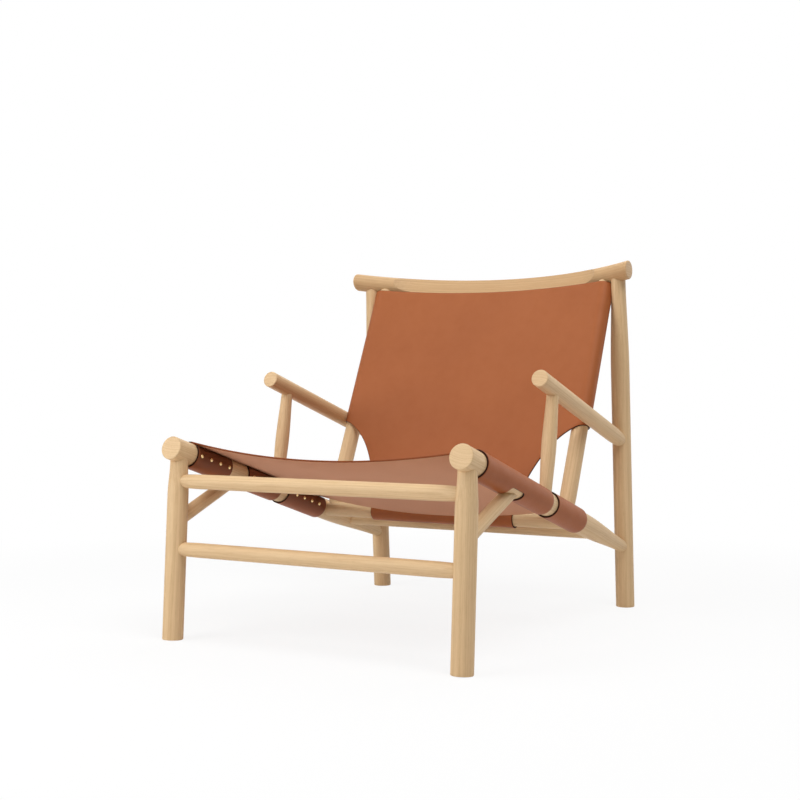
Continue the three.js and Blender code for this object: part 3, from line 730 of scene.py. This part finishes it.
# The crest is a grid bent to its rule: bow, facet with scooped ends, rounded sawn ends
def crestTree(inputs):
    tree, given = geometryTree("crestRule", inputs)
    flatRings, scoopRings, endRings, edgeRings = (given[name] for name in crestLook["rings"])
    facetSides, roundSides = (given[name] for name in crestLook["around"])
    rings = flatRings + scoopRings + endRings + edgeRings + 1
    grid = tree.node("GeometryNodeMeshGrid", {}, {
        "Size X": 2.0, "Size Y": 1.0, "Vertices X": rings * 2 + 1,
        "Vertices Y": facetSides + roundSides + 1}, output="Mesh")
    apart = tree.node("ShaderNodeSeparateXYZ", {}, {"Vector": tree.node("GeometryNodeInputPosition")})
    along, around = apart["X"], (apart["Y"] + 0.5) * (facetSides + roundSides)

    # how far along the rail each ring lies, closer together towards the facet's tip
    ring = abs(along) * rings
    parts, left = [], ring
    for count in (flatRings, scoopRings, endRings, edgeRings):
        parts.append((left / count).clamped())
        left = left - count
    flatPart, scoopPart, endPart, edgePart = parts
    edgeAngle = edgePart * quarterTurn
    cap = (rings - ring).clamped()
    edge, half, flat, tip = (given[name] for name in ("Edge", "Half Length", "Facet Flat", "Facet Tip"))
    reach = (flat * flatPart + (tip - flat) * (1 - (1 - scoopPart) ** 2) + (half - edge - tip) * endPart
             + edge * edgeAngle.sine())
    radius = (given["Radius"] - edge * (1 - edgeAngle.cosine())) * cap

    # the facet's place in the section, and the angle at which the round meets it
    bow, facet, hollow = given["Bow Radius"], given["Facet Bow"], given["Scoop Radius"]
    planed = bow - (facet * facet - reach * reach).root()
    aside = reach - given["Scoop Middle"]
    scooped = given["Scoop Front"] - (hollow * hollow - aside * aside).root()
    inFlat = reach.below(flat)
    cut = planed * inFlat + scooped * (1 - inFlat)
    cutFront = bow - ((bow - cut) ** 2 + reach * reach).root()
    leanSine, leanCosine = given["Facet Lean"].sine(), given["Facet Lean"].cosine()
    share = (cutFront * leanCosine / given["Radius"]).maths("MINIMUM", 1.0)
    meets = share.maths("ARCCOSINE") * reach.below(tip)
    onFacet = around.below(facetSides)
    chord = around / facetSides * 2 - 1
    angle = meets + (2 * halfTurn - meets * 2) * ((around - facetSides) / roundSides)
    outwards = radius * (meets.cosine() * onFacet + angle.cosine() * (1 - onFacet))
    upwards = radius * (meets.sine() * chord * onFacet + angle.sine() * (1 - onFacet))
    front = outwards * leanCosine - upwards * leanSine
    up = outwards * leanSine + upwards * leanCosine
    forward = bow - ((bow - front) ** 2 - reach * reach).root()
    x = reach * along.maths("SIGN")

    heart = tree.node("ShaderNodeCombineXYZ", {}, {
        "X": front + turning["pith"][0], "Y": up + turning["pith"][1], "Z": x})
    shape = grid
    for name, kind, value in (("grain", "FLOAT_VECTOR", heart), ("darkening", "FLOAT", given["Darkening"])):
        shape = tree.node("GeometryNodeStoreNamedAttribute", {"data_type": kind, "domain": "POINT"}, {
            "Geometry": shape, "Name": name, "Value": value})
    endTree(tree, moulded(tree, shape, x, forward, up), given["Oak"])
    return tree


def makeCrest():
    inputs = crestInputs()
    mesh = runTree(crestTree(inputs), bpy.data.meshes.new("crestStart"), inputs)
    for vertex in mesh.vertices:
        x, forward, up = vertex.co
        vertex.co = crestMiddle + acrossChair * x + crestFront * forward + crestUp * up
    mesh.set_sharp_from_angle(angle=math.radians(crestLook["creaseAngle"]))
    return addPiece("bowed_crest_rail", mesh, [oak], ["crest_rail"])


makeCrest()
print("crest rail made")

# The leather sheets, each cut to a flat outline and then hung
hide = {
    "thickness": 0.0034,
    "edgeRound": 0.0007,
    "fit": 0.0003,  # over the oak
    "spacing": (0.0032, 0.006),  # of the mesh, across and along
    "edgeStep": 0.004,  # between points of the cut edge
    "edgeClear": 0.6,  # of the spacing, from the edge to the mesh inside
    "sharpest": 0.6,  # keeps a sharp corner from moving in too far
    "samePoint": 1e-9,
}


def divided(start, end):  # points from start up to end, without end
    start, end = np.array(start), np.array(end)
    count = max(1, math.ceil(np.linalg.norm(end - start) / hide["edgeStep"]))
    return [tuple(start + (end - start) * number / count) for number in range(count)]


# The whole outline from its right side, which is listed from the low end to the high one
def bothSides(edge):
    mirrored = [(-across, along) for across, along in reversed(edge)]
    return edge + divided(edge[-1], mirrored[0])[1:] + mirrored + divided(mirrored[-1], edge[0])[1:]


# The outline moved in by the rounding of its edge
def insetOutline(outline):
    def normals(first, second):
        step = second - first
        return np.stack([step[:, 1], -step[:, 0]], 1) / np.linalg.norm(step, axis=1)[:, None]

    corner = normals(np.roll(outline, 1, axis=0), outline) + normals(outline, np.roll(outline, -1, axis=0))
    outward = corner / np.maximum((corner ** 2).sum(1) / 2, hide["sharpest"])[:, None]
    return outline - outward * hide["edgeRound"]


# Points of a grid over the sheet that keep clear of its cut edge
def gridPoints(outline, inset):
    ticks = [np.linspace(low, high, round((high - low) / spacing) + 1)
             for low, high, spacing in zip(outline.min(0), outline.max(0), hide["spacing"])]
    field = np.stack(np.meshgrid(*ticks, indexing="ij"), -1).reshape(-1, 2)
    clear = np.full(len(field), np.inf)
    for start, end in zip(inset, np.roll(inset, -1, axis=0)):
        step = end - start
        part = np.clip((field - start) @ step / (step @ step), 0, 1)
        clear = np.minimum(clear, np.linalg.norm(field - start - part[:, None] * step, axis=1))
    return field[clear > hide["edgeClear"] * min(hide["spacing"])]


# place hangs a flat point, sectionAt gives the sling's section at a place along it, and edges within paleEdge
# of the middle stay raw, while the others get the near-black edge colour of painted shade
def hangSheet(name, edge, place, sectionAt, paleEdge):
    outline = np.array(bothSides(edge))
    inset = insetOutline(outline)
    rim = len(outline)
    flat = [Vector(point) for point in np.concatenate([inset, gridPoints(outline, inset)])]
    edges = [(number, (number + 1) % rim) for number in range(rim)]
    cut = delaunay_2d_cdt(flat, edges, [], 1, hide["samePoint"])  # 1 keeps what is inside the edges
    spots, triangles, sources = cut[0], cut[2], cut[3]
    used = sorted({corner for triangle in triangles for corner in triangle})
    order = {spot: number for number, spot in enumerate(used)}
    fromInput = {source: order[spot] for spot in used for source in sources[spot]}

    thick, soft = hide["thickness"], hide["edgeRound"]
    count = len(used)
    points = [place(*spots[spot], thick) for spot in used] + [place(*spots[spot], 0.0) for spot in used]
    faces, finishes = [], []
    for triangle in triangles:
        a, b, c = (order[spot] for spot in triangle)
        faces.extend([(a, b, c), (c + count, b + count, a + count)])
        finishes.extend([grainSlot, fleshSlot])
    upper = [fromInput[number] for number in range(rim)]
    rings = [upper]
    for lift in (thick - soft, soft):
        rings.append(range(len(points), len(points) + rim))
        points.extend(place(*spot, lift) for spot in outline)
    rings.append([number + count for number in upper])
    for first, second in zip(rings, rings[1:]):
        for number in range(rim):
            after = (number + 1) % rim
            faces.append((first[number], second[number], second[after], first[after]))
            # the near-black edge colour is painted shade
            finishes.append(rawSlot if abs(outline[number][0]) < paleEdge else edgeShadeSlot)

    mesh = smoothMesh(name, points, faces)
    mesh.polygons.foreach_set("material_index", finishes)
    flatPlaces = [spots[spot] for spot in used] * 2 + list(outline) * 2
    # how far each point is turned under, which paints shade on the flaps
    tuckShade = mesh.attributes.new("tuckShade", "FLOAT", "POINT")
    tuckShade.data.foreach_set("value", [sectionAt(along).tuckShade(across) for across, along in flatPlaces])
    turnOutwards(mesh)
    loop = outline - outline.mean(0)
    after = np.roll(loop, -1, axis=0)
    area = abs((loop[:, 0] * after[:, 1] - loop[:, 1] * after[:, 0]).sum()) / 2
    return mesh, outline.max(0) - outline.min(0), area


# A sling's section: hung between two dowels, then wrapped over, round and under each of them
class Section:
    def __init__(self, halfSpan, bore, sag):
        self.halfSpan = halfSpan
        self.bore = bore
        self.hang = math.atan(2 * sag / halfSpan)
        self.panel = halfSpan - bore * math.sin(self.hang)  # flat width before the wrap
        self.middle = bore + hide["thickness"] / 2

    def width(self, angle):  # flat distance from the middle to an angle of the wrap
        return self.panel + self.middle * (quarterTurn + self.hang - angle)

    def angle(self, across):  # of a place in the wrap, from the dowel's outer side
        return quarterTurn + self.hang - (abs(across) - self.panel) / self.middle

    def tuckShade(self, across):  # how far it is turned under, from the dowel's far side to its inner side; it sets the painted shade there
        return clamped(-self.angle(across) / quarterTurn - 1)

    def place(self, across, lift):
        radius = self.bore + lift
        reach = self.halfSpan - radius * math.sin(self.hang)
        flat = abs(across)
        if flat < self.panel:
            x = reach * flat / self.panel
            n = radius * math.cos(self.hang) - math.tan(self.hang) * reach / 2 * (1 - (x / reach) ** 2)
        else:
            angle = self.angle(across)
            x = self.halfSpan + radius * math.cos(angle)
            n = radius * math.sin(angle)
        return math.copysign(x, across), n


def sleeveBore(radius):
    return radius + hide["fit"]


def flapAngle(bore, rise):  # where a flap ends that has risen again beside its dowel
    return -halfTurn - math.asin(rise / bore)


hemLook = {"width": 0.352, "rise": 0.02, "turn": 225, "lap": 0.004}
hemBore = sleeveBore(stock["backRail"] / 2)
hemMiddle = hemBore + hide["thickness"] / 2

# The seat sling, with slots for the arm posts and the braces
seatLook = {
    "sag": 0.03,
    "frontStation": 0.027,
    "rearGap": 0.0034,
    "postSlotMargin": 0.002,
    "braceSlotMargin": 0.007,
    "braceSlotCorner": 0.009,
    "braceSlotEnd": -32,  # degrees below the rail's outer side
    "flapGap": 0.002,
    "slotSteps": 10,
}
seatBore = sleeveBore(stock["rail"] / 2)
seatSection = Section(halfSide, seatBore, seatLook["sag"])
seatRear = sideFrame["backRailStation"] - hemBore - hide["thickness"] - seatLook["rearGap"]
seatLength = seatRear - seatLook["frontStation"]
seatOrigin = lifted(railLine.at(seatRear), 0)
seatAlong = -lifted(railLine.along, 0)  # towards the front
seatUp = acrossChair.cross(-seatAlong)
postHalf = stock["postEnd"] / 2 + seatLook["postSlotMargin"]
postSlot = {"place": seatRear - railLine.crossing(postLine, seatBore), "half": postHalf, "corner": postHalf,
            "end": halfSide - postHalf}
braceLean = math.sin(math.radians(sideFrame["railSlope"] + sideFrame["braceSlope"]))
braceSlot = {"place": seatRear - railLine.crossing(braceLine, -seatBore),
             "half": stock["brace"] / 2 / braceLean + seatLook["braceSlotMargin"],
             "corner": seatLook["braceSlotCorner"],
             "end": seatSection.width(math.radians(seatLook["braceSlotEnd"]))}


def seatPoint(across, along, lift):
    x, n = seatSection.place(across, lift)
    return seatOrigin + acrossChair * x + seatUp * n + seatAlong * along


# The rounded end of a slot, from its low side to its high one
def slotEnd(place, half, corner, end):
    steps = seatLook["slotSteps"]
    points = []
    for middle, start in ((place - half + corner, -quarterTurn), (place + half - corner, 0.0)):
        for number in range(steps + 1):
            angle = start + quarterTurn * number / steps
            points.append((end + corner - corner * math.cos(angle), middle + corner * math.sin(angle)))
    if half <= corner:  # a full round, whose two arcs share a point
        del points[steps + 1]
    return points


def runTo(edge, point):  # straight on from the last point
    edge += divided(edge[-1], point)[1:] + [point]


# One side of the seat's outline, from its rear edge to its front edge
def seatEdge():
    hang = seatSection.hang
    flapFace = seatBore + hide["thickness"]
    rise = (seatBore * math.cos(hang) - (flapFace - seatBore * math.sin(hang)) * math.tan(hang)
            - seatLook["flapGap"])
    flap = seatSection.width(flapAngle(seatBore, rise))
    edge = [(flap, 0.0)]
    for slot in (postSlot, braceSlot):
        low, high = slot["place"] - slot["half"], slot["place"] + slot["half"]
        runTo(edge, (flap, low))
        edge += divided(edge[-1], (slot["end"] + slot["corner"], low))[1:] + slotEnd(**slot)
        runTo(edge, (flap, high))
    runTo(edge, (flap, seatLength))
    return edge


seatMesh, seatFlat, seatArea = hangSheet(
    "seatLeather", seatEdge(), seatPoint, lambda along: seatSection, paleEdge=seatSection.panel)
seat = addPiece("seat_leather", seatMesh, leather, ["seat_sling"])
tuple(seatFlat)
print("seat hung, flat size", seatFlat, "area", seatArea)

# The back sling: sleeves round the uprights, cut-out corners and a hem round the back cross rail
backLook = {
    "sag": 0.032,
    "topDrop": 0.025,
    "sleeveFoot": 0.216,
    "cutoutBulge": 0.04,
    "cutoutDrop": 0.03,
    "cutoutStep": 0.002,
    "cutoutEase": 1.5,  # closer steps where the curve starts
    "flapRise": 0.008,
}
backTop = uprightLength - backLook["topDrop"]
backFoot = lifted(backRailPlace, 0)
backFront = acrossChair.cross(uprightAlong)


def backSection(height):
    rise = max(height - hemLook["lap"], 0)
    sag = backLook["sag"] * (rise / (backTop - hemLook["lap"])) ** 2
    sleeve = sleeveBore(stock["upright"] / 2)
    part = min(rise / (stock["uprightFootTaper"] - hemLook["lap"]), 1)
    return Section(halfUpright, hemBore + (sleeve - hemBore) * eased(part), sag)


def backPoint(across, height, lift):
    x, n = backSection(height).place(across, lift)
    if height < 0:  # round the back cross rail
        angle = height / hemMiddle
        n = (hemBore + lift) * math.cos(angle)
        height = (hemBore + lift) * math.sin(angle)
    return backFoot + acrossChair * x + backFront * n + uprightAlong * height


# Height of the cut-out's curve at a place across the chair
def cutoutHeight(x):
    low = hemLook["width"] / 2
    places = [low, low + backLook["cutoutBulge"], halfUpright + stock["upright"] / 2]
    heights = [hemLook["rise"], backLook["sleeveFoot"] - backLook["cutoutDrop"], backLook["sleeveFoot"]]
    if x >= places[2]:
        return heights[2]
    bend = places[0] - 2 * places[1] + places[2]
    start = places[1] - places[0]
    part = (math.sqrt(start * start - bend * (places[0] - x)) - start) / bend
    return heights[0] * (1 - part) ** 2 + 2 * heights[1] * part * (1 - part) + heights[2] * part ** 2


# One side of the back's outline, from the hem to its top edge
def backEdge():
    hemHalf = hemLook["width"] / 2
    hemEnd = -hemMiddle * math.radians(hemLook["turn"])
    edge = divided((hemHalf, hemEnd), (hemHalf, hemLook["rise"]))
    footHeight = backLook["sleeveFoot"]
    sleeve = backSection(footHeight)
    flap = sleeve.width(flapAngle(sleeve.bore, backLook["flapRise"]))
    steps = round((flap - hemHalf) / backLook["cutoutStep"])
    for number in range(steps):
        across = hemHalf + (flap - hemHalf) * (number / steps) ** backLook["cutoutEase"]
        x, _ = sleeve.place(min(across, sleeve.width(0.0)), 0.0)
        edge.append((across, cutoutHeight(x)))
    rows = math.ceil((backTop - footHeight) / hide["edgeStep"])
    for row in range(rows + 1):
        height = footHeight + (backTop - footHeight) * row / rows
        section = backSection(height)
        edge.append((section.width(flapAngle(section.bore, backLook["flapRise"])), height))
    return edge


backMesh, backFlat, backArea = hangSheet("backLeather", backEdge(), backPoint, backSection, paleEdge=0.0)
back = addPiece("back_leather", backMesh, leather, ["back_sling"])
tuple(backFlat)
print("back hung, flat size", backFlat, "area", backArea)

# Brass studs, one domed head on each stud's place
studLook = {
    "Head Diameter": 0.008,
    "Head Height": 0.0028,
    "Segments": 28,
    "Rings": 14,
    "Brass": brass,
}
studRows = {"most": 4, "margin": 0.008, "seatPitch": 0.031, "backPitch": 0.08, "hemPitch": 0.1}


def studRow(low, high, pitch):
    count = min(studRows["most"], 1 + math.floor((high - low - 2 * studRows["margin"]) / pitch))
    first = (low + high - (count - 1) * pitch) / 2
    return [first + number * pitch for number in range(count)]


def seatStuds():
    slotSides = [slot["place"] + side * slot["half"] for slot in (postSlot, braceSlot) for side in (-1, 1)]
    tabEnds = [0.0, *slotSides, seatLength]
    tabs = list(zip(tabEnds[::2], tabEnds[1::2]))
    width = seatSection.width(-halfTurn)
    for label, side in sides.items():
        for tab, (low, high) in enumerate(tabs, 1):
            for number, along in enumerate(studRow(low, high, studRows["seatPitch"]), 1):
                point = seatPoint(side * width, along, hide["thickness"])
                yield f"seat_stud_{label}_{tab}_{number}", point, acrossChair * -side


def backStuds():
    low, high = backLook["sleeveFoot"], uprightLength - stock["uprightTaper"]
    heights = studRow(low, high, studRows["backPitch"])
    for label, side in sides.items():
        for number, height in enumerate(heights, 1):
            width = backSection(height).width(-halfTurn)
            point = backPoint(side * width, height, hide["thickness"])
            yield f"back_stud_{label}_{number}", point, acrossChair * -side


def hemStuds():
    half = hemLook["width"] / 2
    for number, x in enumerate(studRow(-half, half, studRows["hemPitch"]), 1):
        point = backPoint(x, -hemMiddle * halfTurn, hide["thickness"])
        yield f"hem_stud_{number}", point, -backFront


def studTree():
    tree, given = geometryTree("studHeads", studLook)
    ball = tree.node("GeometryNodeMeshUVSphere", {}, {
        "Segments": given["Segments"], "Rings": given["Rings"], "Radius": 1.0}, output="Mesh")
    apart = tree.node("ShaderNodeSeparateXYZ", {}, {"Vector": tree.node("GeometryNodeInputPosition")})
    half = given["Head Diameter"] / 2
    height = apart["Z"].maths("MAXIMUM", 0.0) * given["Head Height"]
    head = moulded(tree, ball, apart["X"] * half, apart["Y"] * half, height)
    outward = tree.node("GeometryNodeInputNamedAttribute", {"data_type": "FLOAT_VECTOR"}, {"Name": "outward"})
    turned = tree.node("FunctionNodeAlignRotationToVector", {"axis": "Z"}, {"Vector": outward})
    heads = tree.node("GeometryNodeInstanceOnPoints", {}, {
        "Points": given["Points"], "Instance": head, "Rotation": turned})
    endTree(tree, heads, given["Brass"])
    return tree


studHeads = studTree()
for name, studs in {"seat_studs": seatStuds(), "back_studs": backStuds(), "hem_studs": hemStuds()}.items():
    nodes, points, outwards = zip(*studs)
    base = bpy.data.meshes.new(name + "Start")
    base.from_pydata(points, [], [])
    storeVectors(base, "outward", outwards)
    addPiece(name, runTree(studHeads, base, studLook), [brass], nodes)
print("studs driven")

# Studio: pale floor, white surroundings and soft lamps
studio = {
    "floorSize": 24,
    "floorColour": (0.93, 0.93, 0.93, 1),
    "floorGlow": 0.86,  # how much of the floor near the chair is seen as plain white
    "glowReach": (0.9, 1.9),  # from there on it turns all white
    "surround": 0.03,
    "aim": (0, 0, 0.4),
}
lamps = {  # place, size and power
    "key": ((-1.52, -2.64, 1.39), 2.0, 50),
    "right": ((1.59, -0.92, 3.02), 2.0, 57),
    "left": ((-1.59, -0.92, 3.02), 2.0, 22),
    "top": ((0, 0, 3.4), 2.4, 13),
    "back": ((0, 1.84, 3.02), 2.0, 24),
    "rearRight": ((1.52, 2.64, 1.39), 2.0, 12),
    "rearLeft": ((-1.52, 2.64, 1.39), 2.0, 9),
}


def seenDirectly(tree):
    path = tree.node("ShaderNodeLightPath", output="Is Camera Ray")
    return (path + path["Is Glossy Ray"] + path["Is Transmission Ray"]).clamped()


def makeFloor():
    half = studio["floorSize"] / 2
    mesh = bpy.data.meshes.new("floor")
    corners = [(-half, -half, 0), (half, -half, 0), (half, half, 0), (-half, half, 0)]
    mesh.from_pydata(corners, [], [(0, 1, 2, 3)])
    material, tree = newMaterial("floorWhite")
    plain = tree.node("ShaderNodeBsdfDiffuse", {}, {"Color": studio["floorColour"]})
    glow = tree.node("ShaderNodeEmission", {}, {"Color": white, "Strength": 1.0})
    away = distance(tree, objectPlace(tree))
    near = studio["floorGlow"]
    share = seenDirectly(tree) * (near + (1 - near) * away.ramp(*studio["glowReach"]))
    surface(tree, tree.node("ShaderNodeMixShader", {}, {0: share, 1: plain, 2: glow}))
    mesh.materials.append(material)
    floor = newObject("studio_floor", mesh)


def makeWorld():
    world = bpy.data.worlds.new("studio")
    world.use_nodes = True
    tree = Tree(world.node_tree)
    soft, bright = (tree.node("ShaderNodeBackground", {}, {"Color": white, "Strength": strength})
                    for strength in (studio["surround"], 1.0))
    sky = tree.node("ShaderNodeMixShader", {}, {0: seenDirectly(tree), 1: soft, 2: bright})
    tree.node("ShaderNodeOutputWorld", {}, {"Surface": sky})
    bpy.context.scene.world = world


def makeLamps():
    for name, (place, size, power) in lamps.items():
        light = bpy.data.lights.new(name, "AREA")
        light.shape = "DISK"
        light.size = size
        light.energy = power
        holder = newObject(name + "_lamp", light)
        holder.location = place
        beam = Vector(studio["aim"]) - holder.location
        holder.rotation_euler = beam.to_track_quat("-Z", "Y").to_euler()


view = {"place": (1.3383, -2.4027, 0.4987), "yaw": 29.903, "pitch": 0.565, "lens": 58.0, "sensor": 36}


def makeCamera():
    lens = bpy.data.cameras.new("photoView")
    lens.lens = view["lens"]
    lens.sensor_width = view["sensor"]
    lens.sensor_fit = "HORIZONTAL"
    camera = newObject("photo_view", lens)
    camera.location = view["place"]
    camera.rotation_euler = (quarterTurn - math.radians(view["pitch"]), 0, math.radians(view["yaw"]))
    bpy.context.scene.camera = camera


makeFloor()
makeWorld()
makeLamps()
makeCamera()
bpy.context.scene.view_settings.view_transform = "Standard"
print("studio set")

bpy.context.view_layer.update()
